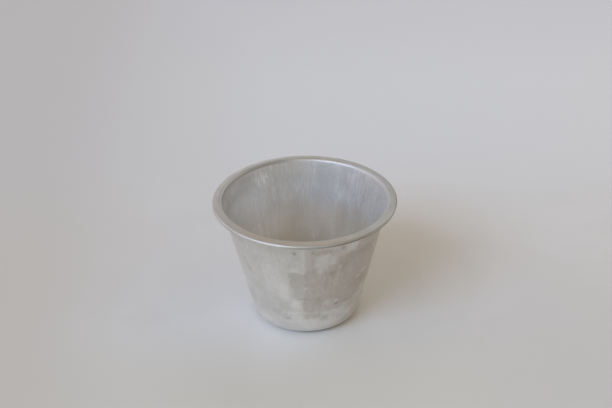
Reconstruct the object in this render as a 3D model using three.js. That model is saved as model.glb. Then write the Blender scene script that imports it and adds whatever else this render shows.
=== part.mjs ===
// A metal baking cup: a shell drawn from one sheet of aluminium, with a flat base, a flared wall and a rolled rim,
// and the wire ring that the rim is rolled over. Millimetres, +Z up, with the origin at the middle of the base,
// on the surface that the cup stands on.
import * as THREE from 'three';

// Driving dimensions of the shell.
const RIM_DIAMETER = 70; // across the outside of the rolled rim
const CUP_HEIGHT = 49; // from the underside of the base to the top of the rim
const BASE_DIAMETER = 40; // where the line of the outer wall would meet the table
const BASE_CORNER_RADIUS = 5; // outside of the bend between the base and the wall
const LIP_RADIUS = 1.3; // upper side of the bend where the wall turns out into the rim
const RIM_LAND = 1.85; // flat top of the rim, between the lip and the roll
const SHEET_THICKNESS = 0.4;
const CURL_SWEEP = THREE.MathUtils.degToRad(252); // how far the edge is rolled, from its top outwards and under

// Driving dimensions of the wire inside the rolled rim.
const WIRE_DIAMETER = 0.6;
const WIRE_CLEARANCE = 0.1; // between the wire and the sheet that is rolled round it
const WIRE_END_GAP = 0.5; // between the two butted ends of the wire

// How finely round forms are divided.
const SIDES_AROUND_CUP = 72;
const SIDES_AROUND_WIRE = 12;
const SECTION_ARC_STEP = THREE.MathUtils.degToRad(18);

// The curl is a round tube of sheet with the wire in its middle. The lip is the bend that turns the wall out into the
// flat land, and the land runs level from the top of the lip to the top of the curl.
const curlOutside = WIRE_DIAMETER / 2 + WIRE_CLEARANCE + SHEET_THICKNESS;
const curlInside = curlOutside - SHEET_THICKNESS;
const curlCentre = new THREE.Vector2(RIM_DIAMETER / 2 - curlOutside, CUP_HEIGHT - curlOutside);
const lipCentre = new THREE.Vector2(curlCentre.x - RIM_LAND, CUP_HEIGHT - LIP_RADIUS);
const lipUnderside = LIP_RADIUS - SHEET_THICKNESS;

// The outer wall is the straight line from the edge of the base that just touches the underside of the lip.
const baseEdge = new THREE.Vector2(BASE_DIAMETER / 2, 0);
const baseToLip = lipCentre.clone().sub(baseEdge);
const flare = Math.atan2(baseToLip.x, baseToLip.y) - Math.asin(lipUnderside / baseToLip.length());

// The corner's bend touches both the table and the line of the outer wall.
const cornerCentre = new THREE.Vector2(
  baseEdge.x + BASE_CORNER_RADIUS * (Math.tan(flare) - 1 / Math.cos(flare)),
  BASE_CORNER_RADIUS,
);

// Points along an arc, from one angle to another, in the plane of radius and height.
function arc(centre, radius, from, to) {
  const steps = Math.ceil(Math.abs(to - from) / SECTION_ARC_STEP);
  return Array.from({ length: steps + 1 }, (_, i) => {
    const angle = from + ((to - from) * i) / steps;
    return new THREE.Vector2(centre.x + radius * Math.cos(angle), centre.y + radius * Math.sin(angle));
  });
}

// The sheet's section, round its outline: out along the underside to the raw edge inside the curl, and back over the
// rim and down the inside. The cup is this section turned about its own axis.
function makeShellGeometry() {
  const base = -Math.PI / 2;
  const wallOutside = -flare;
  const wallAtLip = Math.PI - flare;
  const top = Math.PI / 2;
  const rawEdge = top - CURL_SWEEP;
  const section = [
    new THREE.Vector2(0, 0),
    ...arc(cornerCentre, BASE_CORNER_RADIUS, base, wallOutside),
    ...arc(lipCentre, lipUnderside, wallAtLip, top),
    ...arc(curlCentre, curlInside, top, rawEdge),
    ...arc(curlCentre, curlOutside, rawEdge, top),
    ...arc(lipCentre, LIP_RADIUS, top, wallAtLip),
    ...arc(cornerCentre, BASE_CORNER_RADIUS - SHEET_THICKNESS, wallOutside, base),
    new THREE.Vector2(0, SHEET_THICKNESS),
  ];
  return new THREE.LatheGeometry(section, SIDES_AROUND_CUP).rotateX(Math.PI / 2);
}

// The circle that the wire follows inside the curl, from one of its ends round to the other.
class WirePath extends THREE.Curve {
  getPoint(t, target = new THREE.Vector3()) {
    const endAngle = WIRE_END_GAP / 2 / curlCentre.x;
    const angle = THREE.MathUtils.lerp(endAngle, 2 * Math.PI - endAngle, t);
    return target.set(curlCentre.x * Math.cos(angle), curlCentre.x * Math.sin(angle), curlCentre.y);
  }
}

function makeWireGeometry() {
  const sides = Array.from({ length: SIDES_AROUND_WIRE }, (_, i) => {
    const angle = (2 * Math.PI * i) / SIDES_AROUND_WIRE;
    return new THREE.Vector2(Math.cos(angle), Math.sin(angle)).multiplyScalar(WIRE_DIAMETER / 2);
  });
  return new THREE.ExtrudeGeometry(new THREE.Shape(sides), {
    steps: SIDES_AROUND_CUP,
    extrudePath: new WirePath(),
  });
}

function makePiece(name, geometry, finish) {
  const mesh = new THREE.Mesh(geometry, new THREE.MeshStandardMaterial(finish));
  mesh.name = name;
  return mesh;
}

const bakingCup = new THREE.Group();
bakingCup.add(
  makePiece('cup_shell', makeShellGeometry(), { color: 0xa8a6a2, roughness: 0.45, metalness: 1 }),
  makePiece('rim_wire', makeWireGeometry(), { color: 0x86847f, roughness: 0.4, metalness: 1 }),
);

export default bakingCup;
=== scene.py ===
# %% [markdown]
# # A baking cup of dull aluminium
# The real cup is pressed from one disc of thin sheet. A punch pushes the disc through a ring, which leaves
# a flat base, a rounded corner and a flared wall. The edge is then turned out flat and rolled under, over a
# thin wire. This lesson builds that sheet as a turned section, gives it the small faults of a used cup, and
# then makes the finish: dull metal with stains, draw marks and wear. All lengths are in metres, in the
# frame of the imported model.

import math

import bmesh
import bpy
from mathutils import Matrix, Vector


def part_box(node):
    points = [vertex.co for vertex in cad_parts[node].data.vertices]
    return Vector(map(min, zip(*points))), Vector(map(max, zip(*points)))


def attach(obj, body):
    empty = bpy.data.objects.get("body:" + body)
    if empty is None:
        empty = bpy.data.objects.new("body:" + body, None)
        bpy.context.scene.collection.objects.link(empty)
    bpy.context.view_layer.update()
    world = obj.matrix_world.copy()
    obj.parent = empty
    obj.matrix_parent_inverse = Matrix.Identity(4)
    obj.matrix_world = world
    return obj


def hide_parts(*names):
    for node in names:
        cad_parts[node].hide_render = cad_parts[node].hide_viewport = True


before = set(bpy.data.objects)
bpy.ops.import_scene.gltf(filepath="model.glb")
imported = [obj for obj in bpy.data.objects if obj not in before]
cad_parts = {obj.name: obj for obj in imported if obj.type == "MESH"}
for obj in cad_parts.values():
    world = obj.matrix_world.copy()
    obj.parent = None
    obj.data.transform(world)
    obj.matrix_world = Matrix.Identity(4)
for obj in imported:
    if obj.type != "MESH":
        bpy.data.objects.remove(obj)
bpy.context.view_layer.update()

# %% [markdown]
# ## The section of the sheet
# Every round part of the cup comes from one line: the section of the sheet, from the middle of the base to
# the raw edge inside the rolled rim. It could be drawn as a curve and turned with a modifier. Working it
# out from arcs keeps each bend at its real radius, and lets each row of the mesh remember which side of the
# sheet it lies on.

# %% Sizes of the cup
MM = 0.001
low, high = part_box("cup_shell")
RIM_RADIUS = (high.x - low.x) / 2
HEIGHT = high.z
BASE_RADIUS = 20 * MM  # where the line of the outer wall would meet the table
CORNER_RADIUS = 5 * MM
LIP_RADIUS = 1.3 * MM
RIM_LAND = 1.85 * MM  # the flat top of the rim, between the lip and the roll
SHEET = 0.4 * MM
WIRE_RADIUS = 0.3 * MM
WIRE_CLEARANCE = 0.1 * MM
WIRE_END_GAP = 0.5 * MM
CURL_SWEEP = math.radians(252)  # how far the edge is rolled, from its top outwards and under

curl_outside = WIRE_RADIUS + WIRE_CLEARANCE + SHEET
curl_centre = Vector((RIM_RADIUS - curl_outside, HEIGHT - curl_outside))
lip_centre = Vector((curl_centre.x - RIM_LAND, HEIGHT - LIP_RADIUS))
base_to_lip = lip_centre - Vector((BASE_RADIUS, 0))
flare = math.atan2(base_to_lip.x, base_to_lip.y) - math.asin((LIP_RADIUS - SHEET) / base_to_lip.length)
corner_outset = CORNER_RADIUS * (math.tan(flare) - 1 / math.cos(flare))
corner_centre = Vector((BASE_RADIUS + corner_outset, CORNER_RADIUS))
print(f"rim {2 * RIM_RADIUS / MM:.1f} mm, height {HEIGHT / MM:.1f} mm, flare {math.degrees(flare):.1f} deg")

# %% Rows of the section
UNDERSIDE, OUTSIDE, RIM, INSIDE = range(4)
FLAT_ROWS, WALL_ROWS, LAND_ROWS = 9, 44, 4
BEND_STEP, ROLL_STEP, ROLL_INSIDE_STEP = 6, 8, 12  # degrees between the rows of an arc


def arc(centre, radius, start, end, step=BEND_STEP):
    """Points along an arc of the section, each a radius and a height."""
    steps = math.ceil(abs(end - start) / math.radians(step))
    angles = [start + (end - start) * i / steps for i in range(steps + 1)]
    return [centre + radius * Vector((math.cos(a), math.sin(a))) for a in angles]


def straight(start, end, rows):
    """Points between two points of the section, without the ends."""
    return [start.lerp(end, i / rows) for i in range(1, rows)]


def sheet_section():
    """(point, zone) down the whole outline, from the middle of the underside to the middle of the inside."""
    down, top = -math.pi / 2, math.pi / 2
    at_lip, raw_edge = math.pi - flare, top - CURL_SWEEP
    middle_under, middle_inside = Vector((0, 0)), Vector((0, SHEET))
    corner_out = arc(corner_centre, CORNER_RADIUS, down, -flare)
    corner_in = arc(corner_centre, CORNER_RADIUS - SHEET, -flare, down)
    lip_under = arc(lip_centre, LIP_RADIUS - SHEET, at_lip, top)
    lip_over = arc(lip_centre, LIP_RADIUS, top, at_lip)
    curl_in = arc(curl_centre, curl_outside - SHEET, top, raw_edge, ROLL_INSIDE_STEP)
    curl_out = arc(curl_centre, curl_outside, raw_edge, top, ROLL_STEP)
    underside = [middle_under] + straight(middle_under, corner_out[0], FLAT_ROWS)
    wall_out = straight(corner_out[-1], lip_under[0], WALL_ROWS)
    land_under = straight(lip_under[-1], curl_in[0], LAND_ROWS)
    land = straight(curl_out[-1], lip_over[0], LAND_ROWS)
    wall_in = straight(lip_over[-1], corner_in[0], WALL_ROWS)
    floor_in = straight(corner_in[-1], middle_inside, FLAT_ROWS) + [middle_inside]
    zones = [
        (underside, UNDERSIDE), (corner_out + wall_out, OUTSIDE), (lip_under + land_under + curl_in, RIM),
        (curl_out + land + lip_over, RIM), (wall_in + corner_in + floor_in, INSIDE),
    ]
    return [(point, zone) for points, zone in zones for point in points]


section = sheet_section()
print(len(section), "rows in the section")

# %% [markdown]
# ## The small faults of a used cup
# A cup that has been knocked about is never quite round: the mouth is a little oval, the wall has shallow
# dents, the rim dips here and there, and its outer edge droops. These could be bumps in the material, but
# then the outline would stay perfect. So each point of the sheet is moved, and both sides move together,
# which keeps the sheet's thickness. All the faults push inwards or down, so the cup stays inside its real
# size.

# %% Dents and out-of-round
OVAL_SHRINK = 0.1 * MM
OVAL_TURN = math.radians(70)
OVAL_POWER = 2  # of the height, so that the oval grows towards the mouth
RIM_DIP = 0.1 * MM
RIM_DIPS_ROUND = 3
RIM_DIP_TURN = 0.8
RIM_DIP_POWER = 6
RIM_DROOP = 0.26 * MM
ON_AXIS = 1e-9
# Each dent: degrees round from the front (to the right is positive), height, half width and depth in
# millimetres.
DENTS = [
    (54, 25, 3.2, 0.35), (62, 21, 2.4, 0.2), (-8, 31, 7, 0.14), (-38, 17, 6, 0.12), (24, 14, 5, 0.12),
    (118, 30, 6, 0.25), (165, 20, 8, 0.3), (-120, 34, 5, 0.2), (-160, 12, 4, 0.15),
]


def share(value):
    """A value held between 0 and 1."""
    return max(0.0, min(1.0, value))


def worn(x, y, z):
    """Where a point of the new cup lies on the used one. Angles count from the front, which faces -Y."""
    radius = math.hypot(x, y)
    if radius < ON_AXIS:
        return Vector((x, y, z))
    angle = math.atan2(x, -y)
    rise = share(z / HEIGHT)
    inward = OVAL_SHRINK * (0.5 + 0.5 * math.cos(2 * (angle - OVAL_TURN))) * rise ** OVAL_POWER
    if z > CORNER_RADIUS:
        for degrees, height, half_width, depth in DENTS:
            turn = (angle - math.radians(degrees) + math.pi) % (2 * math.pi) - math.pi
            across = turn * radius / (half_width * MM)
            up = (z - height * MM) / (half_width * MM)
            inward += depth * MM * math.exp(-across * across - up * up)
    wave = 0.5 + 0.5 * math.sin(RIM_DIPS_ROUND * angle + RIM_DIP_TURN)
    dip = RIM_DIP * wave * rise ** RIM_DIP_POWER
    dip += RIM_DROOP * share((radius - lip_centre.x) / RIM_LAND)
    shrink = (radius - inward) / radius
    return Vector((x * shrink, y * shrink, z - dip))


print(len(DENTS), "dents, deepest", max(depth for _, _, _, depth in DENTS), "mm")

# %% [markdown]
# ## The shell
# The section is now turned about the upright axis. A Screw modifier would do it too, but turning it in code
# gives each face its zone, so that the underside, the outside, the rim and the inside can have finishes of
# their own on one unbroken sheet.

# %% Turn the section into the shell
AROUND = 256


def as_mesh(bm, name):
    """Turns a built form into a mesh."""
    mesh = bpy.data.meshes.new(name)
    bm.to_mesh(mesh)
    bm.free()
    return mesh


def turned_mesh(name, rows):
    """A mesh of the rows turned about Z, closed on the axis at its first and last row."""
    bm = bmesh.new()
    turns = [2 * math.pi * i / AROUND for i in range(AROUND)]
    rings = []
    for point, _ in rows:
        if point.x < ON_AXIS:
            rings.append([bm.verts.new((0, 0, point.y))])
            continue
        places = [worn(point.x * math.cos(t), point.x * math.sin(t), point.y) for t in turns]
        rings.append([bm.verts.new(place) for place in places])
    for (a, b), (_, zone) in zip(zip(rings, rings[1:]), rows[1:]):
        for i in range(AROUND):
            j = (i + 1) % AROUND
            corners = [a[i % len(a)], a[j % len(a)], b[j % len(b)], b[i % len(b)]]
            face = bm.faces.new(list(dict.fromkeys(corners)))
            face.smooth = True
            face.material_index = zone
    return as_mesh(bm, name)


def add_piece(mesh):
    """Puts a mesh into the scene as a piece of the cup."""
    piece = bpy.data.objects.new(mesh.name, mesh)
    bpy.context.scene.collection.objects.link(piece)
    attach(piece, "root")
    return piece


shell = add_piece(turned_mesh("drawn_shell", section))
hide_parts("cup_shell")
print("shell:", len(shell.data.polygons), "faces")

# %% [markdown]
# ## The wire in the rim
# The rim is rolled over a ring of steel wire, which keeps the mouth stiff. Only its butted ends and a
# sliver of it can be glimpsed from below, through the open side of the roll. It could keep the plain solid,
# but it bends with the rim, so it is turned here with the same faults.

# %% Bend the wire
WIRE_SIDES = 16


def bent_wire(name):
    """A ring of round wire with two flat, butted ends, at the middle of the curl."""
    bm = bmesh.new()
    end_angle = WIRE_END_GAP / 2 / curl_centre.x
    rings = []
    for i in range(AROUND + 1):
        turn = end_angle + (2 * math.pi - 2 * end_angle) * i / AROUND
        ring = []
        for k in range(WIRE_SIDES):
            side = 2 * math.pi * k / WIRE_SIDES
            radius = curl_centre.x + WIRE_RADIUS * math.cos(side)
            height = curl_centre.y + WIRE_RADIUS * math.sin(side)
            ring.append(bm.verts.new(worn(radius * math.cos(turn), radius * math.sin(turn), height)))
        rings.append(ring)
    for a, b in zip(rings, rings[1:]):
        for k in range(WIRE_SIDES):
            n = (k + 1) % WIRE_SIDES
            bm.faces.new((a[k], b[k], b[n], a[n])).smooth = True
    bm.faces.new(rings[0])
    bm.faces.new(list(reversed(rings[-1])))
    bmesh.ops.recalc_face_normals(bm, faces=bm.faces)
    return as_mesh(bm, name)


wire = add_piece(bent_wire("rolled_in_wire"))
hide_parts("rim_wire")
print("wire:", len(wire.data.polygons), "faces")

# %% [markdown]
# ## A way to wire nodes
# The finishes are made of shader nodes. They could be placed one by one by hand. A small helper that adds a
# node, fills its sockets with numbers or links, and hands back its output keeps each effect readable as a
# few lines of sums.

# %% Node helper
class Wiring:
    """Adds nodes to one tree. Values may be numbers, tuples or the sockets of other nodes."""

    def __init__(self, tree):
        self.tree = tree

    def fill(self, socket, value):
        """Links a socket to another one, or sets its value."""
        if isinstance(value, bpy.types.NodeSocket):
            self.tree.links.new(value, socket)
        else:
            socket.default_value = value

    def add(self, kind, settings=None, inputs=None):
        """A node with its settings and its inputs, which are given by name or by position."""
        node = self.tree.nodes.new(kind)
        for key, value in (settings or {}).items():
            setattr(node, key, value)
        for key, value in (inputs or {}).items():
            self.fill(node.inputs[key], value)
        return node

    def math(self, operation, *values, clamp=False):
        """A Math node."""
        settings = {"operation": operation, "use_clamp": clamp}
        return self.add("ShaderNodeMath", settings, dict(enumerate(values))).outputs[0]

    def times(self, first, *others):
        """The product of some values."""
        for other in others:
            first = self.math("MULTIPLY", first, other)
        return first

    def add_up(self, base, *terms):
        """A base value and the sum of (value, weight) terms."""
        for value, weight in terms:
            base = self.math("MULTIPLY_ADD", value, weight, base)
        return base

    def fade(self, value, start, end, low=0.0, high=1.0, shape="SMOOTHSTEP"):
        """A step of the value from low at start to high at end."""
        inputs = {"Value": value, "From Min": start, "From Max": end, "To Min": low, "To Max": high}
        return self.add("ShaderNodeMapRange", {"interpolation_type": shape}, inputs).outputs["Result"]

    def noise(self, vector, scale=1.0, detail=2.0, roughness=0.5, distortion=0.0, output="Fac"):
        """A Noise Texture node."""
        inputs = {"Vector": vector, "Scale": scale, "Detail": detail, "Roughness": roughness}
        inputs["Distortion"] = distortion
        return self.add("ShaderNodeTexNoise", None, inputs).outputs[output]

    def vector(self, operation, inputs, output="Vector"):
        """A Vector Math node."""
        return self.add("ShaderNodeVectorMath", {"operation": operation}, inputs).outputs[output]

    def join(self, x, y, z):
        """A vector of three values."""
        return self.add("ShaderNodeCombineXYZ", None, {"X": x, "Y": y, "Z": z}).outputs[0]

    def split(self, vector):
        """The three values of a vector."""
        return self.add("ShaderNodeSeparateXYZ", None, {0: vector}).outputs

    def tint(self, factor, below, above, blend="MIX", amount=1.0):
        """One colour over another by a factor, which an amount under 1 weakens."""
        if amount != 1.0:
            factor = self.times(factor, amount)
        node = self.add("ShaderNodeMix", {"data_type": "RGBA", "blend_type": blend}, {0: factor})
        colours = [socket for socket in node.inputs if socket.type == "RGBA"]
        self.fill(colours[0], below)
        self.fill(colours[1], above)
        return [socket for socket in node.outputs if socket.type == "RGBA"][0]

    def use(self, group, **inputs):
        """A node group, with its inputs by name; an underscore stands for a space."""
        named = {key.replace("_", " "): value for key, value in inputs.items()}
        return self.add("ShaderNodeGroup", {"node_tree": group}, named).outputs


print("node helper ready")

# %% Group helper
FLOAT, VECTOR = "NodeSocketFloat", "NodeSocketVector"


def floats(*labels):
    """Sockets for plain numbers."""
    return [(label, FLOAT) for label in labels]


def new_group(name, inputs, outputs):
    """An empty node group with named sockets, its wiring, its input sockets and its output node."""
    group = bpy.data.node_groups.new(name, "ShaderNodeTree")
    for label, kind in inputs:
        group.interface.new_socket(name=label, in_out="INPUT", socket_type=kind)
    for label, kind in outputs:
        group.interface.new_socket(name=label, in_out="OUTPUT", socket_type=kind)
    into = group.nodes.new("NodeGroupInput").outputs
    out = group.nodes.new("NodeGroupOutput").inputs
    return group, Wiring(group), into, out


def send(wiring, out, **values):
    """Links values to the outputs of a group."""
    for label, value in values.items():
        wiring.fill(out[label], value)


print("group helper ready")

# %% [markdown]
# ## Round the cup and up the wall
# Stains and draw marks lie where the cup was held, filled and drawn, so the finishes need to know where a
# point is: how far round from the front, how high, and how far from the axis. A UV map could say it.
# Working it out from the object's own coordinates needs no unwrapping, and has no stretched places.

# %% Group: round the cup
def make_round_the_cup():
    """Turn in degrees from the front, height, radius and place in millimetres, and a unit ring."""
    outputs = floats("Turn", "Height", "Radius") + [("Place", VECTOR), ("Ring", VECTOR)]
    group, w, _, out = new_group("round_the_cup", [], outputs)
    where = w.add("ShaderNodeTexCoord").outputs["Object"]
    place = w.vector("SCALE", {0: where, "Scale": 1 / MM})
    x, y, z = w.split(place)
    flat = w.join(x, y, 0.0)
    radius = w.vector("LENGTH", {0: flat}, "Value")
    ring = w.vector("NORMALIZE", {0: flat})
    turn = w.math("DEGREES", w.math("ARCTAN2", x, w.times(y, -1.0)))
    send(w, out, Turn=turn, Height=z, Radius=radius, Place=place, Ring=ring)
    return group


round_the_cup = make_round_the_cup()
print("group:", round_the_cup.name)

# %% [markdown]
# ## Stains with ragged edges
# Water and batter dry in patches on the metal, with wandering borders. A noise alone would scatter them
# anywhere. So a place is first shaken by a noise, and then measured from the middle of each patch: the
# shaken place gives the ragged border, and the measure gives the patch its own position and size.

# %% Group: wander
BROAD_SCALE, FINE_SCALE = 0.28, 1.1  # of the two sizes of wandering, per millimetre
FINE_SHARE = 0.5
SHAKE_MIDDLE = 0.75  # where the sum of the two noises lies on average
SHAKE_STRETCH = 3.0


def make_wander():
    """Shakes turn and height by up to some millimetres, at two sizes of wandering."""
    inputs = floats("Turn", "Height", "Radius", "Amount") + [("Place", VECTOR)]
    group, w, into, out = new_group("wander", inputs, floats("Turn", "Height"))
    broad_x, broad_y, _ = w.split(w.noise(into["Place"], BROAD_SCALE, output="Color"))
    fine_x, fine_y, _ = w.split(w.noise(into["Place"], FINE_SCALE, output="Color"))

    def shake(broad, fine):
        both = w.math("MULTIPLY_ADD", fine, FINE_SHARE, broad)
        return w.times(w.math("SUBTRACT", both, SHAKE_MIDDLE), SHAKE_STRETCH, into["Amount"])

    sideways = w.math("DEGREES", w.math("DIVIDE", shake(broad_x, fine_x), into["Radius"]))
    turn = w.math("ADD", into["Turn"], sideways)
    height = w.math("ADD", into["Height"], shake(broad_y, fine_y))
    send(w, out, Turn=turn, Height=height)
    return group


wander = make_wander()


def spot(here):
    """The turn, height and radius of a place, for the inputs of a group."""
    return {label: here[label] for label in ("Turn", "Height", "Radius")}


def shaken(w, here, amount):
    """The place on the cup with its turn and height shaken by some millimetres, for ragged patches."""
    moved = w.use(wander, **spot(here), Place=here["Place"], Amount=amount)
    return {"Turn": moved["Turn"], "Height": moved["Height"], "Radius": here["Radius"]}


print("group:", wander.name)

# %% Group: patch
ROUND, ROUNDED, SQUARE, SQUAREST = 2.0, 3.0, 4.0, 4.5  # powers that give a patch its outline


def make_patch():
    """A patch at a turn and a height: 1 inside, 0 outside, with a soft border in millimetres."""
    measures = floats("At Turn", "At Height", "Half Width", "Half Height", "Soft", "Square")
    inputs = floats("Turn", "Height", "Radius") + measures
    group, w, into, out = new_group("patch", inputs, floats("Mask"))
    turn = w.math("WRAP", w.math("SUBTRACT", into["Turn"], into["At Turn"]), 180.0, -180.0)
    across = w.times(w.math("RADIANS", turn), into["Radius"])
    up = w.math("SUBTRACT", into["Height"], into["At Height"])

    def power(distance, half):
        return w.math("POWER", w.math("ABSOLUTE", w.math("DIVIDE", distance, half)), into["Square"])

    both = w.math("ADD", power(across, into["Half Width"]), power(up, into["Half Height"]))
    reach = w.math("POWER", both, w.math("DIVIDE", 1.0, into["Square"]))
    size = w.math("MINIMUM", into["Half Width"], into["Half Height"])
    beyond = w.times(w.math("SUBTRACT", reach, 1.0), size)
    send(w, out, Mask=w.fade(beyond, into["Soft"], w.times(into["Soft"], -1.0)))
    return group


patch = make_patch()


def patches(w, here, places, square=ROUNDED):
    """The union of patches, each (turn, height, half width, half height, softness, strength)."""
    union = 0.0
    for turn, height, half_width, half_height, soft, strength in places:
        one = w.use(
            patch, **spot(here), At_Turn=turn, At_Height=height, Half_Width=half_width,
            Half_Height=half_height, Soft=soft, Square=square,
        )
        union = w.math("MAXIMUM", w.times(one["Mask"], strength), union)
    return union


print("group:", patch.name)

# %% [markdown]
# ## Draw marks, mottling, hairlines and pits
# The punch drags the sheet upwards, which leaves fine upright lines. Oxide clouds the metal in blotches,
# handling scratches it in short straight hairlines, and salt eats small pits. Each of these could be nodes
# of its own in each finish. All the finishes share them, so each becomes a group with its size as an input.

# %% Groups: draw marks and mottling
NOISE_SPREAD = (0.3, 0.7)  # where nearly all of a noise lies
BLOTCH_SPREAD = (0.36, 0.64)


def make_draw_marks():
    """Upright lines: a noise that runs quickly round the cup and slowly up it."""
    inputs = [("Ring", VECTOR)] + floats("Height", "Lines", "Run")
    group, w, into, out = new_group("draw_marks", inputs, floats("Streak"))
    around = w.vector("SCALE", {0: into["Ring"], "Scale": into["Lines"]})
    lift = w.join(0.0, 0.0, w.times(into["Height"], into["Run"]))
    value = w.noise(w.vector("ADD", {0: around, 1: lift}), detail=3.0, roughness=0.6)
    send(w, out, Streak=w.fade(value, *NOISE_SPREAD))
    return group


def make_mottle():
    """Cloudy blotches of one size in millimetres."""
    group, w, into, out = new_group("mottle", [("Place", VECTOR)] + floats("Size"), floats("Blotch"))
    scale = w.math("DIVIDE", 1.0, into["Size"])
    value = w.noise(into["Place"], scale, detail=5.0, roughness=0.6, distortion=0.8)
    send(w, out, Blotch=w.fade(value, *BLOTCH_SPREAD))
    return group


draw_marks = make_draw_marks()
mottle = make_mottle()


def streaks(w, here, lines, run):
    """Upright lines on a finish: more lines are finer, and a smaller run makes them longer."""
    return w.use(draw_marks, Ring=here["Ring"], Height=here["Height"], Lines=lines, Run=run)["Streak"]


def blotches(w, here, size):
    """Cloudy blotches on a finish, of one size in millimetres."""
    return w.use(mottle, Place=here["Place"], Size=size)["Blotch"]


print("groups:", draw_marks.name, mottle.name)

# %% Groups: hairlines and pits
HAIR_ALONG, HAIR_ASIDE = 0.16, 3.2  # how fast the noise changes along and across a scratch, per millimetre
HAIR_BORDER = 0.05
PITS_CHOSEN = (0.55, 0.75)  # cells below the first have no pit, and above the second a full one
PIT_CORE = 0.4


def make_hairlines():
    """Short straight scratches that lie at one slant, in degrees from level."""
    inputs = floats("Turn", "Height", "Radius", "Slant", "Sparse")
    group, w, into, out = new_group("hairlines", inputs, floats("Mask"))
    across = w.times(w.math("RADIANS", into["Turn"]), into["Radius"])
    slant = w.math("RADIANS", into["Slant"])
    cosine, sine = w.math("COSINE", slant), w.math("SINE", slant)
    along = w.math("ADD", w.times(across, cosine), w.times(into["Height"], sine))
    aside = w.math("SUBTRACT", w.times(into["Height"], cosine), w.times(across, sine))
    stretched = w.join(w.times(along, HAIR_ALONG), w.times(aside, HAIR_ASIDE), into["Slant"])
    value = w.noise(stretched, detail=1.0)
    send(w, out, Mask=w.fade(value, into["Sparse"], w.math("ADD", into["Sparse"], HAIR_BORDER)))
    return group


def make_pits():
    """Sparse round specks, a few tenths of a millimetre wide."""
    inputs = [("Place", VECTOR)] + floats("Apart", "Width")
    group, w, into, out = new_group("pits", inputs, floats("Mask"))
    scale = w.math("DIVIDE", 1.0, into["Apart"])
    cells = w.add("ShaderNodeTexVoronoi", None, {"Vector": into["Place"], "Scale": scale}).outputs
    chosen = w.fade(w.split(cells["Color"])[0], *PITS_CHOSEN)
    distance = w.times(cells["Distance"], into["Apart"])
    speck = w.fade(distance, into["Width"], w.times(into["Width"], PIT_CORE))
    send(w, out, Mask=w.times(speck, chosen))
    return group


hairlines = make_hairlines()
pits = make_pits()


def pitted(w, here, apart, width):
    """Specks on a finish, by how far apart and how wide they are in millimetres."""
    return w.use(pits, Place=here["Place"], Apart=apart, Width=width)["Mask"]


print("groups:", hairlines.name, pits.name)

# %% Scratches at several slants
FLAT_RADIUS = 10.0  # any length in millimetres, which lays a flat face out like a wall
FLAT_SLANTS = (12.0, 75.0, 140.0)


def scratches(w, here, slants, sparse):
    """The union of hairlines at several slants, sparser for a higher value."""
    union = 0.0
    for slant in slants:
        one = w.use(hairlines, **spot(here), Slant=slant, Sparse=sparse)
        union = w.math("MAXIMUM", one["Mask"], union)
    return union


def flat_scratches(w, here, sparse):
    """Straight scratches on a flat face."""
    x, y, _ = w.split(here["Place"])
    turn = w.math("DEGREES", w.math("DIVIDE", x, FLAT_RADIUS))
    return scratches(w, {"Turn": turn, "Height": y, "Radius": FLAT_RADIUS}, FLAT_SLANTS, sparse)


print("scratches at", len(FLAT_SLANTS), "slants on flat faces")

# %% [markdown]
# ## Metal as a material
# Each finish ends in a Principled shader: metallic, with a colour, a roughness and a height that vary over
# the surface. The three come from sums of the groups above. The height could move the mesh, but the grain
# is too fine for it, so it goes through a Bump node.

# %% Metal helper
BUMP_STRENGTH = 0.35
SHEET_GRAIN = 0.2 * MM
FINE_GRAIN = 0.1 * MM


def new_finish(name, metallic=1.0, grain=SHEET_GRAIN):
    """A material, its wiring and a function that links colour, roughness and height to its shader."""
    material = bpy.data.materials.new(name)
    material.use_nodes = True
    w = Wiring(material.node_tree)
    shader = material.node_tree.nodes["Principled BSDF"]
    shader.inputs["Metallic"].default_value = metallic

    def link(colour, roughness, height):
        bump = w.add("ShaderNodeBump", None, {"Strength": BUMP_STRENGTH, "Distance": grain, "Height": height})
        w.fill(shader.inputs["Base Color"], colour)
        w.fill(shader.inputs["Roughness"], roughness)
        w.fill(shader.inputs["Normal"], bump.outputs["Normal"])

    return material, w, link


def rgb(red, green, blue):
    """A colour with full alpha."""
    return (red, green, blue, 1.0)


print("metal helper ready")

# %% [markdown]
# ## The outside of the wall
# The outside is pale grey where it is clean. A brown film covers the right of the front, with a stepped
# left border and a level lower edge, and leaves lighter islands. Films of the same kind lie on the far
# sides. Paler and darker blotches cloud the rest. The foot is rubbed bright, and brightened further as
# painted light where its bend meets the table. The stains could be painted as a picture, but as measured
# patches they stay sharp at any distance, and no picture is needed.

# %% Film on the outside
# Patches: degrees from the front, height, half width, half height and softness in millimetres, and strength.
BROWN_FILM = [
    (4.5, 18.3, 2.85, 6.6, 0.45, 0.72), (4.5, 29.6, 3.0, 5.6, 0.5, 0.84), (3.2, 39.5, 2.0, 6.0, 0.7, 0.5),
    (10, 22.0, 2.6, 10.0, 1.0, 0.84), (19, 24.5, 3.6, 10.0, 0.7, 0.86), (46, 27.0, 9.6, 12.6, 1.0, 0.95),
    (33, 37.0, 5.0, 3.0, 1.0, 0.94), (21, 34.0, 2.0, 1.9, 0.8, 0.9), (-7.5, 28.5, 2.5, 3.7, 0.4, 0.3),
    (56, 41.0, 8.6, 5.0, 1.0, 0.8), (11.5, 42.6, 3.4, 2.0, 1.0, 0.75), (24, 41.0, 4.2, 3.2, 1.2, 0.5),
    (27, 14.0, 5.5, 2.2, 1.0, 0.62), (5.5, 10.5, 3.0, 1.9, 0.5, 0.45), (50, 12.0, 4.5, 2.6, 1.0, 0.6),
    (63, 9.0, 5.0, 6.0, 2.0, 0.5), (50, 4.5, 4.0, 2.0, 1.0, 0.5),
]
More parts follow.
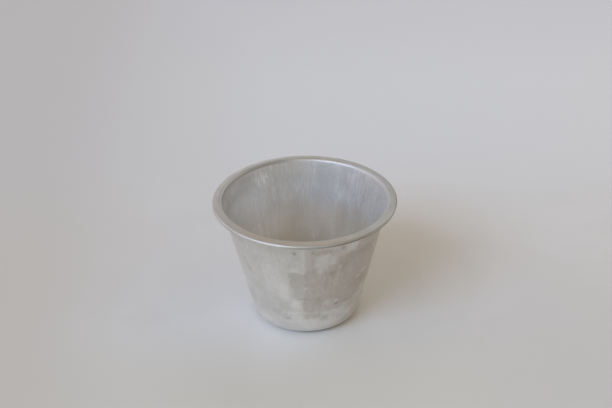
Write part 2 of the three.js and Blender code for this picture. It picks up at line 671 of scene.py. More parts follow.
FAR_FILM = [
    (76, 29.0, 5.0, 11.0, 1.6, 0.9), (88, 33.0, 5.5, 8.0, 2.0, 0.8), (94, 23.0, 5.0, 7.0, 2.2, 0.6),
    (104, 31.0, 4.5, 6.0, 1.8, 0.7), (112, 25.0, 3.5, 6.0, 2.0, 0.4), (158, 25.0, 6.0, 8.0, 2.6, 0.45),
    (168, 21.0, 6.0, 6.5, 1.8, 0.7), (178, 27.0, 5.0, 9.0, 2.6, 0.5), (188, 19.0, 5.0, 5.5, 2.4, 0.4),
    (172, 38.0, 7.0, 3.0, 2.0, 0.3), (-119, 33.0, 5.0, 8.0, 2.4, 0.5), (-127, 27.0, 4.5, 6.0, 1.8, 0.7),
    (-111, 24.0, 4.0, 6.0, 2.2, 0.4), (-136, 35.0, 3.5, 4.5, 2.0, 0.35), (-84, 36.0, 2.4, 4.0, 1.6, 0.3),
]
FILM_ISLANDS = [
    (11, 35.5, 1.5, 2.8, 0.9, 0.85), (15.5, 39.3, 3.4, 1.5, 0.9, 0.55), (35, 43.4, 2.6, 1.8, 1.1, 0.65),
    (24, 26.2, 1.1, 1.5, 0.8, 0.3), (57.5, 25.8, 1.4, 1.3, 0.8, 0.55), (50.5, 24.3, 0.8, 0.35, 0.3, 1.0),
    (60, 15.5, 2.0, 2.4, 1.2, 0.6), (0, 40.5, 0.45, 2.4, 0.5, 0.7), (20, 16.6, 1.6, 1.3, 0.9, 0.65),
    (38, 30.0, 1.5, 2.0, 1.0, 0.15), (9.5, 20.5, 1.6, 0.8, 0.6, 0.35), (28.5, 16.4, 1.4, 0.8, 0.6, 0.45),
    (42, 44.2, 1.2, 0.9, 0.6, 0.6), (81, 27.0, 1.6, 2.4, 0.9, 0.6), (98, 36.0, 1.3, 2.2, 0.9, 0.6),
    (168, 24.5, 1.5, 1.1, 0.8, 0.7), (178, 24.0, 1.0, 1.8, 0.7, 0.6), (-122, 30.5, 1.1, 1.5, 0.7, 0.7),
]
FILM_CORE = [
    (21, 31.4, 1.3, 1.4, 0.8, 0.9), (58, 21.5, 2.0, 1.6, 1.0, 0.6), (27.5, 33.2, 2.4, 2.0, 1.0, 0.5),
    (33.5, 34.7, 0.9, 0.45, 0.4, 0.6), (6, 39.5, 0.7, 5.5, 0.6, 0.5), (44, 37.5, 6.5, 2.2, 1.5, 0.4),
    (37, 16.6, 3.4, 1.2, 0.9, 0.2), (16.5, 28.0, 0.45, 3.2, 0.5, 0.6), (10.5, 18.8, 1.0, 1.4, 0.7, 0.5),
    (46, 22.0, 3.2, 2.2, 1.2, 0.35), (10, 42.5, 1.2, 0.8, 0.6, 0.25), (86, 31.0, 1.6, 2.6, 1.0, 0.5),
    (104, 28.0, 1.2, 1.6, 0.8, 0.5), (163, 20.0, 1.6, 1.4, 0.8, 0.5), (-126, 26.0, 1.4, 1.2, 0.8, 0.5),
]
print("film:", len(BROWN_FILM + FAR_FILM), "patches,", len(FILM_ISLANDS), "islands,", len(FILM_CORE), "cores")

# %% Spots, grey film and bright places on the outside
DARK_SPOTS = [
    (-7.6, 42.8, 0.55, 0.6, 0.4, 0.6), (28.8, 14.6, 0.7, 0.5, 0.4, 0.8), (39, 14.6, 3.1, 0.5, 0.5, 0.6),
    (27.5, 43.0, 0.6, 0.7, 0.5, 0.6), (17.5, 42.8, 0.8, 0.7, 0.6, 0.35), (5, 42.8, 0.5, 0.7, 0.5, 0.4),
    (-18, 8.4, 0.9, 0.45, 0.4, 0.35), (18.5, 8.6, 0.8, 0.9, 0.6, 0.25), (8.5, 10.1, 1.9, 0.25, 0.3, 0.35),
    (12.5, 10.6, 0.3, 0.6, 0.3, 0.35), (-2.5, 19.4, 1.6, 0.35, 0.4, 0.35), (52, 23.0, 1.2, 0.3, 0.4, 0.3),
]
GREY_FILM = [
    (-8, 28.7, 2.8, 3.9, 0.4, 1.0), (-6.3, 22.8, 2.0, 3.2, 0.5, 0.85), (-12.6, 29.2, 0.5, 3.8, 0.5, 1.2),
    (-7.5, 42.0, 1.5, 2.6, 1.2, 0.5), (-52, 28.4, 1.6, 1.9, 1.2, 0.6), (-47, 21.0, 2.4, 2.4, 1.6, 0.3),
    (-21, 14.6, 2.0, 1.5, 0.9, 0.55), (-30, 10.8, 2.4, 1.7, 1.2, 0.75), (-20, 9.4, 1.4, 1.6, 0.8, 0.5),
    (-42, 12.0, 2.6, 2.6, 1.8, 0.45), (-25, 43.2, 9.0, 1.8, 1.5, 0.35), (-62, 13.0, 3.0, 4.0, 2.0, 0.45),
    (-52, 42.0, 2.0, 1.4, 0.9, 0.6), (18, 8.6, 1.8, 1.7, 0.9, 0.45), (-61, 40.0, 1.8, 2.4, 1.0, 0.4),
    (-13, 37.0, 1.0, 3.0, 0.8, 0.3), (-17, 4.5, 4.0, 1.8, 1.2, 0.5), (36, 3.8, 3.0, 1.0, 0.8, 0.5),
    (-16, 13.4, 2.4, 1.0, 0.8, 0.55), (-7, 13.3, 2.6, 0.9, 0.8, 0.4), (-6, 19.2, 2.0, 0.6, 0.5, 0.5),
    (-150, 28.0, 3.0, 4.0, 1.2, 0.5), (138, 18.0, 3.5, 3.0, 1.2, 0.5), (-95, 14.0, 3.0, 2.5, 1.2, 0.5),
]
BRIGHT_PLACES = [
    (-28, 28.0, 3.6, 6.5, 2.0, 0.7), (-9.5, 15.0, 2.1, 4.2, 0.6, 0.9), (-17, 11.2, 0.6, 1.0, 0.5, 0.9),
    (5, 5.8, 8.0, 2.8, 1.0, 0.7), (-19, 22.5, 2.2, 4.5, 1.2, 1.0), (-45, 5.4, 4.0, 1.3, 1.0, 0.7),
    (-11.5, 33.8, 2.0, 1.1, 0.7, 0.8), (18, 5.0, 5.0, 1.2, 1.0, 0.6), (-10, 9.0, 2.4, 1.4, 0.8, 0.7),
]
print(len(DARK_SPOTS), "spots,", len(GREY_FILM), "grey and", len(BRIGHT_PLACES), "bright places")

# %% Finish: outside
CLEAN_METAL = rgb(0.785, 0.77, 0.737)
FILM_METAL = rgb(0.60, 0.553, 0.505)
CORE_METAL = rgb(0.50, 0.45, 0.39)
SPOT_METAL = rgb(0.40, 0.365, 0.32)
GREY_METAL = rgb(0.645, 0.634, 0.597)
BRIGHT_METAL = rgb(0.86, 0.845, 0.82)
OUTSIDE_ROUGHNESS = 0.54
OUTSIDE_WANDER = (0.75, 0.4, 1.8)  # millimetres by which loose, tight and ragged borders wander
FILM_THICK = 0.83  # strength of the film where nothing smears it
OUTSIDE_SLANTS = (62.0, 104.0)
SMEAR_SLANT = 0.53  # how far the film's smears climb to the side
STROKES_RISE = (24.0, 38.0)  # heights between which the strokes grow stronger
# The foot is rubbed bright, and is brightened further as painted light where its bend meets the table.
FOOT_RUBBED_AND_LIT = (3.6, 1.6)  # heights between which the foot turns bright


def make_outside():
    """Clean metal with bright and grey places, then the brown film, and on top spots and scratches."""
    material, w, link = new_finish("outside_aluminium")
    here = w.use(round_the_cup)
    loose, tight, ragged = [shaken(w, here, amount) for amount in OUTSIDE_WANDER]
    clouds = blotches(w, here, size=6.0)
    small = blotches(w, here, size=1.8)
    marks = streaks(w, here, lines=45.0, run=0.12)
    strokes = streaks(w, here, lines=24.0, run=0.25)
    scratch = scratches(w, here, OUTSIDE_SLANTS, sparse=0.69)
    specks = pitted(w, here, apart=1.7, width=0.22)
    upper = w.fade(here["Height"], *STROKES_RISE, low=0.35)
    foot = w.fade(here["Height"], *FOOT_RUBBED_AND_LIT)

    covered = w.math("MAXIMUM", patches(w, loose, BROWN_FILM, SQUAREST), patches(w, ragged, FAR_FILM))
    film = w.times(covered, w.math("SUBTRACT", 1.0, patches(w, loose, FILM_ISLANDS)))
    slanted = w.math("MULTIPLY_ADD", w.split(here["Place"])[0], SMEAR_SLANT, here["Height"])
    smear = streaks(w, {"Ring": here["Ring"], "Height": slanted}, lines=16.0, run=0.35)
    uneven = w.add_up(FILM_THICK, (small, 0.14), (smear, 0.16))
    patchy = w.math("MULTIPLY", film, uneven, clamp=True)

    colour = w.tint(clouds, CLEAN_METAL, GREY_METAL, amount=0.35)
    colour = w.tint(patches(w, loose, BRIGHT_PLACES), colour, BRIGHT_METAL)
    colour = w.tint(w.times(strokes, upper), colour, GREY_METAL, amount=0.4)
    colour = w.tint(patches(w, loose, GREY_FILM, SQUARE), colour, GREY_METAL)
    # Rubbed foot, brightened further as painted light against the dark line at the table.
    colour = w.tint(foot, colour, BRIGHT_METAL, amount=0.8)
    colour = w.tint(patchy, colour, FILM_METAL)
    colour = w.tint(w.times(patches(w, loose, FILM_CORE), film), colour, CORE_METAL)
    colour = w.tint(w.times(small, marks), colour, CORE_METAL, amount=0.12)
    colour = w.tint(patches(w, tight, DARK_SPOTS), colour, SPOT_METAL)
    colour = w.tint(specks, colour, SPOT_METAL, amount=0.5)
    colour = w.tint(scratch, colour, BRIGHT_METAL, amount=0.3)
    roughness = w.add_up(OUTSIDE_ROUGHNESS, (film, 0.06), (small, 0.06), (scratch, -0.12), (foot, -0.2))
    height = w.add_up(0.0, (marks, 0.25), (small, 0.3), (specks, -1.0), (scratch, -0.5), (film, 0.2))
    link(colour, roughness, height)
    return material


outside_aluminium = make_outside()
print("finish:", outside_aluminium.name)

# %% [markdown]
# ## The inside
# The inside keeps the upright draw marks more clearly, because nothing rubs them off. It is bluer on the
# right, where the cool window is painted in as a reflection, and painted shade darkens the back. It is
# browner towards the base where cakes have stuck, and has a baked ring at the corner, a scratched floor and a
# bright scraped patch at the back left below the rim. One noise could give it an even wear, but each of these
# has its own place, so they are laid over each other, from the broad tones to the scratches.

# %% Scrapes and streaks inside
SCRAPED = [
    (209.5, 44.3, 0.35, 1.3, 0.35, 0.8), (212, 43.0, 0.45, 1.9, 0.4, 1.0),
    (214.5, 44.4, 0.3, 1.4, 0.35, 0.9), (217, 42.6, 0.35, 1.7, 0.4, 0.8),
    (219.5, 43.6, 0.3, 1.2, 0.35, 0.7), (213, 40.2, 0.3, 0.9, 0.35, 0.6), (214, 43.0, 2.6, 3.2, 1.4, 0.25),
    (144, 44.0, 0.5, 1.6, 0.5, 0.4), (141, 43.0, 0.4, 1.4, 0.5, 0.3), (240, 30.0, 13.0, 12.0, 5.0, 0.38),
    (246, 45.5, 2.6, 1.6, 1.0, 0.25), (130, 36.0, 1.2, 2.0, 1.0, 0.15), (168.5, 19.5, 0.6, 1.4, 0.8, 0.34),
    (172.5, 19.0, 0.5, 1.7, 0.8, 0.3), (212, 24.0, 6.0, 5.0, 3.0, 0.42), (228, 24.0, 4.0, 4.0, 2.0, 0.52),
]
INSIDE_STREAKS = [
    (148, 44.0, 3.2, 5.0, 1.8, 0.75), (163, 43.5, 4.8, 5.5, 2.0, 0.88), (148, 27.0, 3.2, 6.5, 1.8, 0.85),
    (164, 30.0, 5.0, 12.0, 2.0, 0.72), (127, 38.5, 0.5, 6.0, 0.5, 0.8), (186, 19.5, 8.0, 4.5, 2.5, 0.16),
    (132, 46.0, 2.0, 1.5, 1.0, 0.5), (132, 32.0, 1.6, 1.6, 1.0, 0.45), (182, 29.0, 4.0, 5.0, 2.0, 0.45),
    (186, 45.0, 9.0, 5.0, 3.0, 0.4), (229, 46.0, 3.0, 1.3, 0.8, 0.5), (229, 41.5, 2.6, 2.2, 1.2, 0.3),
    (156, 41.0, 0.4, 4.0, 0.4, 0.5),
]
SHADED_BAND = [(252, 42.4, 12.0, 1.2, 1.0, 0.45)]
# Painted reflection of the cool window: the right of the inside is made bluer and brighter.
COOL_REFLECTION_PLACES = [(132, 44.0, 24.0, 12.0, 6.0, 0.9)]
# Painted shade: the back of the inside is darkened.
PAINTED_SHADE_BACK = [(155, 33.0, 14.0, 24.0, 6.0, 1.0)]
print(len(SCRAPED), "scrapes and", len(INSIDE_STREAKS), "streaks inside")

# %% Finish: inside
INSIDE_METAL = rgb(0.80, 0.803, 0.80)
# COOL_METAL is the colour of that painted reflection.
COOL_METAL = rgb(0.785, 0.82, 0.872)
BAKED_METAL = rgb(0.735, 0.68, 0.58)
SCRAPED_METAL = rgb(0.96, 0.955, 0.94)
STREAK_METAL = rgb(0.57, 0.575, 0.58)
# The tone that multiplies the painted shade at the back.
PAINTED_SHADE_TONE = rgb(0.91, 0.908, 0.92)
STAIN_METAL = rgb(0.635, 0.565, 0.465)
INSIDE_ROUGHNESS = 0.52
INSIDE_WANDER = 0.7
MARKS_RISE = (18.0, 40.0)  # heights between which the draw marks grow stronger
BAKED_BELOW = (38.0, 24.0)  # heights between which the wall turns brown
CORNER_BAKED = (6.0, 3.0)
FLOOR_BELOW = (1.2, 0.6)


def make_inside():
    """Painted cool reflection and baked tones, then draw marks, stains, streaks and painted shade, and on top
    scrapes and specks.
    """
    material, w, link = new_finish("inside_aluminium")
    here = w.use(round_the_cup)
    loose = shaken(w, here, INSIDE_WANDER)
    clouds = blotches(w, here, size=8.0)
    small = blotches(w, here, size=2.0)
    fine = streaks(w, here, lines=48.0, run=0.05)
    broad = streaks(w, here, lines=14.0, run=0.04)
    dashes = streaks(w, here, lines=90.0, run=0.3)
    specks = pitted(w, here, apart=2.6, width=0.25)
    upper = w.fade(here["Height"], *MARKS_RISE)
    low = w.fade(loose["Height"], *BAKED_BELOW)
    on_floor = w.fade(here["Height"], *FLOOR_BELOW)
    corner = w.times(w.fade(loose["Height"], *CORNER_BAKED), w.math("SUBTRACT", 1.0, on_floor))
    between_dashes = w.fade(dashes, 0.35, 0.0)
    scrape = w.times(patches(w, loose, SCRAPED), w.fade(fine, 0.2, 0.7, low=0.6))
    floor_scratch = w.times(flat_scratches(w, here, sparse=0.66), on_floor, 0.5)
    scrape = w.math("MAXIMUM", scrape, floor_scratch)

    colour = w.tint(clouds, INSIDE_METAL, STREAK_METAL, amount=0.12)
    # Painted reflection of the cool window on the right.
    colour = w.tint(patches(w, loose, COOL_REFLECTION_PLACES, ROUND), colour, COOL_METAL)
    colour = w.tint(low, colour, BAKED_METAL, amount=0.85)
    colour = w.tint(w.times(fine, upper), colour, STREAK_METAL, amount=0.48)
    colour = w.tint(broad, colour, STREAK_METAL, amount=0.14)
    colour = w.tint(w.times(dashes, upper), colour, STREAK_METAL, amount=0.55)
    colour = w.tint(w.times(between_dashes, upper), colour, SCRAPED_METAL, amount=0.3)
    colour = w.tint(patches(w, loose, INSIDE_STREAKS), colour, w.tint(low, STREAK_METAL, STAIN_METAL))
    colour = w.tint(patches(w, loose, SHADED_BAND), colour, STREAK_METAL)
    # Painted shade on the back of the inside.
    colour = w.tint(patches(w, loose, PAINTED_SHADE_BACK, ROUND), colour, PAINTED_SHADE_TONE, "MULTIPLY")
    colour = w.tint(w.times(corner, clouds), colour, STAIN_METAL, amount=0.6)
    colour = w.tint(scrape, colour, SCRAPED_METAL)
    colour = w.tint(specks, colour, SPOT_METAL, amount=0.3)
    roughness = w.add_up(INSIDE_ROUGHNESS, (small, 0.06), (scrape, -0.1), (low, 0.05))
    height = w.add_up(0.0, (fine, 0.5), (small, 0.25), (specks, -1.0))
    link(colour, roughness, height)
    return material


inside_aluminium = make_inside()
print("finish:", inside_aluminium.name)

# %% [markdown]
# ## The rim
# Hands and stacked cups rub the rim, so it has fine lines that run round it, and a darker film on its flat
# top. Its outer edge and its lip are worn bright in some places and stained in others. Painted highlights and
# painted reflections lie over this: the roll is brighter at the left of the front and cooler at the right,
# the lip is brighter on the right, and the flat top is paler at the back left, partly as cleaner metal.
# Painted shade darkens a line under the roll at the right of the front and the lip at the back left. The rim
# could be one even finish, but its lip, flat top and roll wear differently, so they are told apart by radius
# and height.

# %% Worn places of the rim
RIM_MIDDLE, RIM_REACH = 48.0, 20.0  # height and half height of patches that cross the rim from side to side


def across_rim(*places):
    """Patches across the rim, each (turn, half width, softness, strength)."""
    return [(turn, RIM_MIDDLE, half, RIM_REACH, soft, strength) for turn, half, soft, strength in places]


# The flat top at the back left is paler and bluer: partly cleaner metal, partly a painted reflection of the
# room.
RIM_CLEAN_AND_REFLECTION = across_rim((-138, 34.0, 14.0, 1.0))
RIM_BROWN = across_rim((-8, 20.0, 8.0, 1.0), (172, 10.0, 6.0, 0.5))
RIM_RUBBED = across_rim((-55, 12.0, 6.0, 0.16), (57, 8.0, 5.0, 0.08))
RIM_DULL = across_rim((95, 12.0, 6.0, 0.5), (148, 7.0, 5.0, 0.4))
# The lip is worn bright. On the right the brightening is also a painted highlight of the window.
LIP_WORN_AND_HIGHLIGHT = across_rim((103, 22.0, 8.0, 1.0), (-167, 5.0, 4.0, 0.5))
LIP_COOL = across_rim((-113, 14.0, 6.0, 0.9))
# Painted dark reflection on the lip at the back left; the lip is also darkened a little at the right of the
# front.
LIP_DARKENED = across_rim((-150, 10.0, 4.0, 0.9), (35, 12.0, 5.0, 0.5))
LIP_SHADED = across_rim((-164, 16.0, 6.0, 0.9))
# Painted reflection on the crown of the roll: paler and cooler at the right of the front, paler at the left.
CROWN_PAINTED_REFLECTION = across_rim((62, 10.0, 5.0, 1.0), (-66, 7.0, 5.0, 0.7))
CROWN_COOL = across_rim((44, 8.0, 4.0, 0.8))
CROWN_STAINED = across_rim((-10, 11.0, 6.0, 1.0))
# Painted highlight on the lower outer side of the roll, strongest at the left of the front.
ROLL_PAINTED_HIGHLIGHT = across_rim(
    (-30, 12.0, 5.0, 1.0), (46, 5.0, 4.0, 0.5), (-66, 6.0, 5.0, 0.35), (88, 10.0, 6.0, 0.6),
)
# Painted shade under the roll at the right of the front: its lower side is darkened, and its bottom edge
# most.
ROLL_PAINTED_SHADE = across_rim((30, 6.0, 4.0, 0.5))
ROLL_GAP_SHADE = across_rim((46, 20.0, 6.0, 0.9))
# The count below takes in the painted highlights and reflections along with the worn places.
print("worn places of the rim:", len(ROLL_PAINTED_HIGHLIGHT + CROWN_PAINTED_REFLECTION + LIP_WORN_AND_HIGHLIGHT + RIM_RUBBED))

# %% Colours and borders of the rim
RIM_METAL = rgb(0.505, 0.50, 0.492)
RIM_FILM = rgb(0.43, 0.415, 0.39)
# RIM_PALE is partly cleaner metal and partly a painted reflection.
RIM_PALE = rgb(0.755, 0.78, 0.795)
RIM_STAIN = rgb(0.575, 0.53, 0.465)
LIP_METAL = rgb(0.62, 0.655, 0.69)
LIP_BLUE = rgb(0.465, 0.482, 0.50)
LIP_DARK = rgb(0.40, 0.415, 0.43)
LIP_SHADE = rgb(0.32, 0.335, 0.35)
# ROLL_METAL is the colour of the roll's painted highlight.
ROLL_METAL = rgb(0.68, 0.67, 0.635)
CROWN_METAL = rgb(0.65, 0.70, 0.77)
CROWN_BLUE = rgb(0.47, 0.49, 0.53)
CROWN_STAIN = rgb(0.47, 0.44, 0.39)
# The next two colours are the painted shade under the roll.
SHADE_UNDER_ROLL = rgb(0.37, 0.335, 0.29)
GAP_PAINTED_SHADE = rgb(0.22, 0.195, 0.17)
RIM_ROUGHNESS = 0.5
# Where one part of the rim fades into the next, by radius or by height in millimetres.
ROLL_BY_RADIUS = (34.2, 34.7)
LIP_BY_RADIUS = (32.5, 31.8)
TOP_BY_RADIUS = (32.2, 33.0)
OUTER_TOP_BY_RADIUS = (33.0, 34.0)
UNDER_BY_HEIGHT = (48.35, 47.95)
SEAM_BY_HEIGHT = (47.95, 47.6)
WALL_BY_HEIGHT, WALL_BY_RADIUS = (48.4, 47.6), (32.2, 31.6)
GROOVE_DRIFT = (1.2, 1.2, 1.0)  # how much the lines change on their way round
GROOVES = 5.0  # lines round the rim, per millimetre across it
print("the roll begins at a radius of", ROLL_BY_RADIUS[0], "mm")

# %% Finish: rim
def make_rim():
    """A filmed flat top with fine lines, then the lip, the crown of the roll and its underside."""
    material, w, link = new_finish("rim_aluminium")
    here = w.use(round_the_cup)
    radius, up = here["Radius"], here["Height"]
    small = blotches(w, here, size=2.2)
    clouds = blotches(w, here, size=9.0)
    groove = w.vector("MULTIPLY", {0: here["Ring"], 1: GROOVE_DRIFT})
    across = w.join(0.0, 0.0, w.times(w.math("ADD", radius, up), GROOVES))
    lines = w.fade(w.noise(w.vector("ADD", {0: groove, 1: across})), *NOISE_SPREAD)
    roll = w.fade(radius, *ROLL_BY_RADIUS)
    lip = w.fade(radius, *LIP_BY_RADIUS)
    top = w.fade(radius, *TOP_BY_RADIUS)
    outer_top = w.fade(radius, *OUTER_TOP_BY_RADIUS)
    under = w.times(roll, w.fade(up, *UNDER_BY_HEIGHT))
    crown = w.math("SUBTRACT", roll, under)
    seam = w.times(roll, w.fade(up, *SEAM_BY_HEIGHT))
    into_cup = w.times(w.fade(up, *WALL_BY_HEIGHT), w.fade(radius, *WALL_BY_RADIUS))
    not_roll = w.math("SUBTRACT", 1.0, roll)

    def wear_and_light_at(part, places, below, metal):
        return w.tint(w.times(part, patches(w, here, places, ROUND)), below, metal)

    colour = wear_and_light_at(top, RIM_CLEAN_AND_REFLECTION, RIM_METAL, RIM_PALE)
    colour = wear_and_light_at(not_roll, RIM_BROWN, colour, RIM_STAIN)
    colour = w.tint(clouds, colour, RIM_FILM, amount=0.3)
    colour = wear_and_light_at(outer_top, RIM_DULL, colour, RIM_FILM)
    colour = w.tint(lines, colour, RIM_FILM, amount=0.2)
    colour = w.tint(patches(w, here, RIM_RUBBED, ROUND), colour, BRIGHT_METAL)
    # Wear and stains on the lip, crown and roll, with their painted highlights, reflections and shade.
    for part, places, metal in (
        (lip, LIP_WORN_AND_HIGHLIGHT, LIP_METAL), (lip, LIP_COOL, LIP_BLUE), (lip, LIP_DARKENED, LIP_DARK),
        (crown, CROWN_PAINTED_REFLECTION, CROWN_METAL), (crown, CROWN_COOL, CROWN_BLUE),
        (crown, CROWN_STAINED, CROWN_STAIN), (under, ROLL_PAINTED_HIGHLIGHT, ROLL_METAL),
        (under, ROLL_PAINTED_SHADE, SHADE_UNDER_ROLL), (seam, ROLL_GAP_SHADE, GAP_PAINTED_SHADE),
    ):
        colour = wear_and_light_at(part, places, colour, metal)
    colour = w.tint(into_cup, colour, INSIDE_METAL, amount=0.6)
    colour = wear_and_light_at(into_cup, LIP_SHADED, colour, LIP_SHADE)
    roughness = w.add_up(RIM_ROUGHNESS, (roll, -0.02), (lip, -0.06), (small, 0.06))
    height = w.add_up(0.0, (lines, 0.4), (small, 0.25))
    link(colour, roughness, height)
    return material


rim_aluminium = make_rim()
print("finish:", rim_aluminium.name)

# %% [markdown]
# ## The underside
# The underside slides on trays and shelves, which leaves scuffs in circles and in straight strokes, and rubs
# its border bright. The circles could be cut as grooves. They are much finer than the mesh, so they come
# from a noise of the radius alone.

# %% Finish: underside
SCUFFED_METAL = rgb(0.74, 0.735, 0.72)
UNDERSIDE_ROUGHNESS = 0.54
CIRCLES = 2.5  # scuffed circles, per millimetre of radius
CIRCLE_SPREAD = (0.35, 0.65)
BORDER_RUBBED = (11.5, 16.4)
BORDER_WANDER = 1.5


def make_underside():
    """Stained metal with a rubbed border, circles, straight scuffs and specks."""
    material, w, link = new_finish("underside_aluminium")
    here = w.use(round_the_cup)
    clouds = blotches(w, here, size=6.0)
    scuff = flat_scratches(w, here, sparse=0.64)
    circles = w.fade(w.noise(w.join(w.times(here["Radius"], CIRCLES), 0.0, 0.0)), *CIRCLE_SPREAD)
    specks = pitted(w, here, apart=1.8, width=0.25)
    rubbed = w.fade(w.add_up(here["Radius"], (clouds, BORDER_WANDER)), *BORDER_RUBBED)

    colour = w.tint(clouds, GREY_METAL, FILM_METAL)
    colour = w.tint(rubbed, colour, BRIGHT_METAL, amount=0.85)
    colour = w.tint(circles, colour, CORE_METAL, amount=0.15)
    colour = w.tint(scuff, colour, SCUFFED_METAL, amount=0.7)
    colour = w.tint(specks, colour, SPOT_METAL, amount=0.6)
    roughness = w.add_up(UNDERSIDE_ROUGHNESS, (clouds, 0.06), (scuff, -0.12), (rubbed, -0.18))
    height = w.add_up(0.0, (circles, 0.4), (scuff, -0.5), (specks, -1.0))
    link(colour, roughness, height)
    return material


underside_aluminium = make_underside()
print("finish:", underside_aluminium.name)

# %% [markdown]
# ## The wire's steel
# Drawn steel wire is darker than the aluminium, with fine lines along it and a few specks of rust where damp
# has crept into the roll. Hardly any of it shows, so it could be plain. The groups are there already, so two
# of them and a stretched noise give it the same care.

# %% Finish: wire
WIRE_METAL = rgb(0.45, 0.44, 0.43)
WIRE_DARK = rgb(0.33, 0.32, 0.31)
WIRE_RUST = rgb(0.22, 0.12, 0.07)
WIRE_ROUGHNESS = 0.35
LINES_ACROSS, LINES_ALONG = 12.0, 0.05  # how fast the lines change, per millimetre and per degree


def make_wire_steel():
    """Drawn steel with lines along it and specks of rust."""
    material, w, link = new_finish("drawn_steel", grain=FINE_GRAIN)
    here = w.use(round_the_cup)
    small = blotches(w, here, size=1.5)
    specks = pitted(w, here, apart=1.2, width=0.25)
    side, up = w.times(here["Radius"], LINES_ACROSS), w.times(here["Height"], LINES_ACROSS)
    lines = w.noise(w.join(side, up, w.times(here["Turn"], LINES_ALONG)))
    colour = w.tint(lines, WIRE_METAL, WIRE_DARK)
    colour = w.tint(specks, colour, WIRE_RUST, amount=0.8)
    roughness = w.add_up(WIRE_ROUGHNESS, (small, 0.1), (specks, 0.3))
    height = w.add_up(0.0, (lines, 0.5), (specks, -0.5))
    link(colour, roughness, height)
    return material


drawn_steel = make_wire_steel()
for finish in (underside_aluminium, outside_aluminium, rim_aluminium, inside_aluminium):
    shell.data.materials.append(finish)
wire.data.materials.append(drawn_steel)
print("finishes on the shell:", [m.name for m in shell.data.materials])

# %% [markdown]
# ## The table
# The cup stands on a plain pale table, which is one flat face. It could have one even colour under uneven
# light.
# Here the uneven light is painted into its colour instead. Painted light makes it cooler at the back and
# warmer in front, and painted shade darkens it to the left, at the right of the front and far behind, so that
# the lights can stay few and plain.

# %% Lay the table
TABLE_HALF = 4.0
table_mesh = bpy.data.meshes.new("table")
corners = [(-1, -1), (1, -1), (1, 1), (-1, 1)]
table_mesh.from_pydata([(x * TABLE_HALF, y * TABLE_HALF, 0) for x, y in corners], [], [(0, 1, 2, 3)])
table = bpy.data.objects.new("table", table_mesh)
bpy.context.scene.collection.objects.link(table)
print("table:", 2 * TABLE_HALF, "m wide")

# %% Finish: table
TABLE_PALE = rgb(0.65, 0.65, 0.65)
TABLE_DEEP = rgb(0.625, 0.622, 0.617)
# The colours below are painted light and painted shade on the table: cooler at the back, darker far behind,
# warmer in front, and darker at the right of the front and to the left.
TABLE_FAR = rgb(0.655, 0.672, 0.70)
TABLE_BACK = rgb(0.61, 0.618, 0.655)
TABLE_FAR_LEFT = rgb(0.632, 0.644, 0.657)
TABLE_NEAR = rgb(0.628, 0.626, 0.592)
TABLE_SIDE = rgb(0.605, 0.60, 0.60)
TABLE_PAINTED_SHADE = rgb(0.58, 0.563, 0.53)
TABLE_PAINTED_SHADE_FAR = rgb(0.58, 0.573, 0.575)
TABLE_ROUGHNESS = 0.6
TABLE_GRAIN = 0.8  # per millimetre
# Where one colour of the painted light and shade fades into the next, in millimetres to the right of the cup
# or behind it.
FAR_FADE, BACK_FADE, NEAR_FADE = (40.0, 140.0), (190.0, 330.0), (-5.0, -55.0)
FAR_LEFT_FADE, LEFT_FADE, LEFT_FAR_FADE = (-15.0, -55.0), (-50.0, -125.0), (0.0, 150.0)
SIDE_FADE, SIDE_FRONT_FADE = (40.0, 120.0), (60.0, -40.0)


def make_table():
    """A pale, faintly clouded face whose colour drifts by place as painted light and painted shade."""
    material, w, link = new_finish("pale_table", metallic=0.0, grain=FINE_GRAIN)
    here = w.use(round_the_cup)
    clouds = blotches(w, here, size=60.0)
    grain = w.noise(here["Place"], TABLE_GRAIN, detail=3.0)
    x, y, _ = w.split(here["Place"])
    far = w.tint(w.fade(x, *FAR_LEFT_FADE), TABLE_FAR, TABLE_FAR_LEFT)
    left = w.tint(w.fade(y, *LEFT_FAR_FADE), TABLE_PAINTED_SHADE, TABLE_PAINTED_SHADE_FAR)
    right_front = w.times(w.fade(x, *SIDE_FADE), w.fade(y, *SIDE_FRONT_FADE))
    colour = w.tint(clouds, TABLE_PALE, TABLE_DEEP)
    # Painted light and painted shade over the clouded colour.
    colour = w.tint(w.fade(y, *FAR_FADE), colour, far)
    colour = w.tint(w.fade(y, *BACK_FADE), colour, TABLE_BACK)
    colour = w.tint(w.fade(y, *NEAR_FADE), colour, TABLE_NEAR)
    colour = w.tint(right_front, colour, TABLE_SIDE)
    colour = w.tint(w.fade(x, *LEFT_FADE), colour, left)
    link(colour, w.add_up(TABLE_ROUGHNESS, (clouds, 0.05)), grain)
    return material


table_mesh.materials.append(make_table())
print("finish:", table_mesh.materials[0].name)

# %% [markdown]
# ## Light
# Daylight comes from the left and the front, with one soft window in front of the cup to the left that
# throws its shadow. Another window stands behind, and a warm lamp of the room to the right. Lamps alone
# would leave the far sides black, and the world alone would leave no shadow, so the world is a dim room that
# brightens to the left and front.

# %% Room
ROOM_DIM = rgb(0.26, 0.195, 0.12)
ROOM_LEFT = rgb(0.72, 0.675, 0.70)
ROOM_FRONT = rgb(0.52, 0.56, 0.535)
scene = bpy.context.scene
scene.view_settings.view_transform = "Standard"
world = bpy.data.worlds.new("room")
scene.world = world
world.use_nodes = True
sky = Wiring(world.node_tree)
to_right, to_back, _ = sky.split(sky.add("ShaderNodeTexCoord").outputs["Generated"])
leftness = sky.fade(to_right, 0.0, -1.0, shape="LINEAR")
frontness = sky.fade(to_back, 0.0, -1.0, shape="LINEAR")
daylight = sky.tint(leftness, ROOM_DIM, ROOM_LEFT, "ADD")
daylight = sky.tint(frontness, daylight, ROOM_FRONT, "ADD")
sky.fill(world.node_tree.nodes["Background"].inputs["Color"], daylight)
print("world:", world.name)


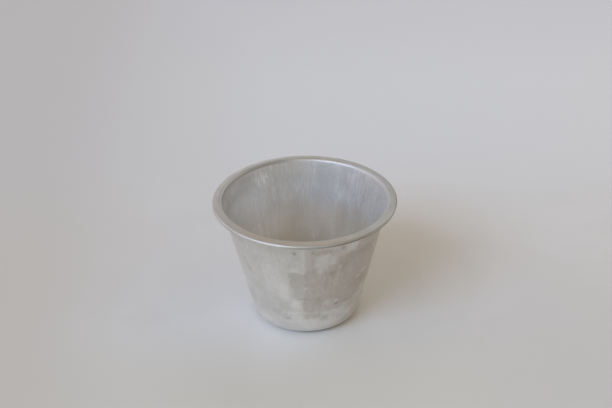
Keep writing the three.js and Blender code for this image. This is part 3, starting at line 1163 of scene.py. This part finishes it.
# %% Windows
def window(name, azimuth, elevation, distance, width, height, radiance):
    """A large soft light that faces the cup, placed by its angle round from the front and above the table."""
    data = bpy.data.lights.new(name, "AREA")
    data.shape = "RECTANGLE"
    data.size = width
    data.size_y = height
    strongest = max(radiance)
    data.color = [part / strongest for part in radiance]
    data.energy = strongest * math.pi * width * height
    lamp = bpy.data.objects.new(name, data)
    turn, lift = math.radians(azimuth), math.radians(elevation)
    away = Vector((math.sin(turn) * math.cos(lift), -math.cos(turn) * math.cos(lift), math.sin(lift)))
    lamp.location = away * distance
    lamp.rotation_euler = away.to_track_quat("Z", "Y").to_euler()
    scene.collection.objects.link(lamp)
    return lamp


lamps = [
    window("left_window", azimuth=-42, elevation=40, distance=2.4, width=1.3, height=1.1,
           radiance=(3.42, 4.62, 6.75)),
    window("far_window", azimuth=160, elevation=40, distance=0.6, width=0.5, height=0.5,
           radiance=(0.64, 0.75, 0.86)),
    window("room_lamp", azimuth=100, elevation=45, distance=0.9, width=0.8, height=0.8,
           radiance=(0.42, 0.29, 0.13)),
]
print("lamps:", [(lamp.name, round(lamp.data.energy, 2)) for lamp in lamps])

# %% [markdown]
# ## Camera
# The camera looks down at the cup from the front, through a long lens from about half a metre. It could be
# placed by eye. Fitting the outlines of the rim, the wall and the base gives its place, its turns and the
# size of the cup together.

# %% Camera
LENS_PIXELS = 1445
PICTURE_WIDTH = 612
SENSOR_WIDTH = 36
CAMERA_PLACE = (0, -0.47494, 0.31751)
PAN, TILT, ROLL = -0.057, 90 - 29.738, -0.879
camera_data = bpy.data.cameras.new("camera")
camera_data.sensor_width = SENSOR_WIDTH
camera_data.lens = LENS_PIXELS / PICTURE_WIDTH * SENSOR_WIDTH
camera = bpy.data.objects.new("camera", camera_data)
aim = Matrix.Translation(CAMERA_PLACE)
for angle, axis in ((PAN, "Z"), (TILT, "X"), (ROLL, "Z")):
    aim = aim @ Matrix.Rotation(math.radians(angle), 4, axis)
camera.matrix_world = aim
scene.collection.objects.link(camera)
scene.camera = camera
print("lens:", round(camera_data.lens, 1), "mm")
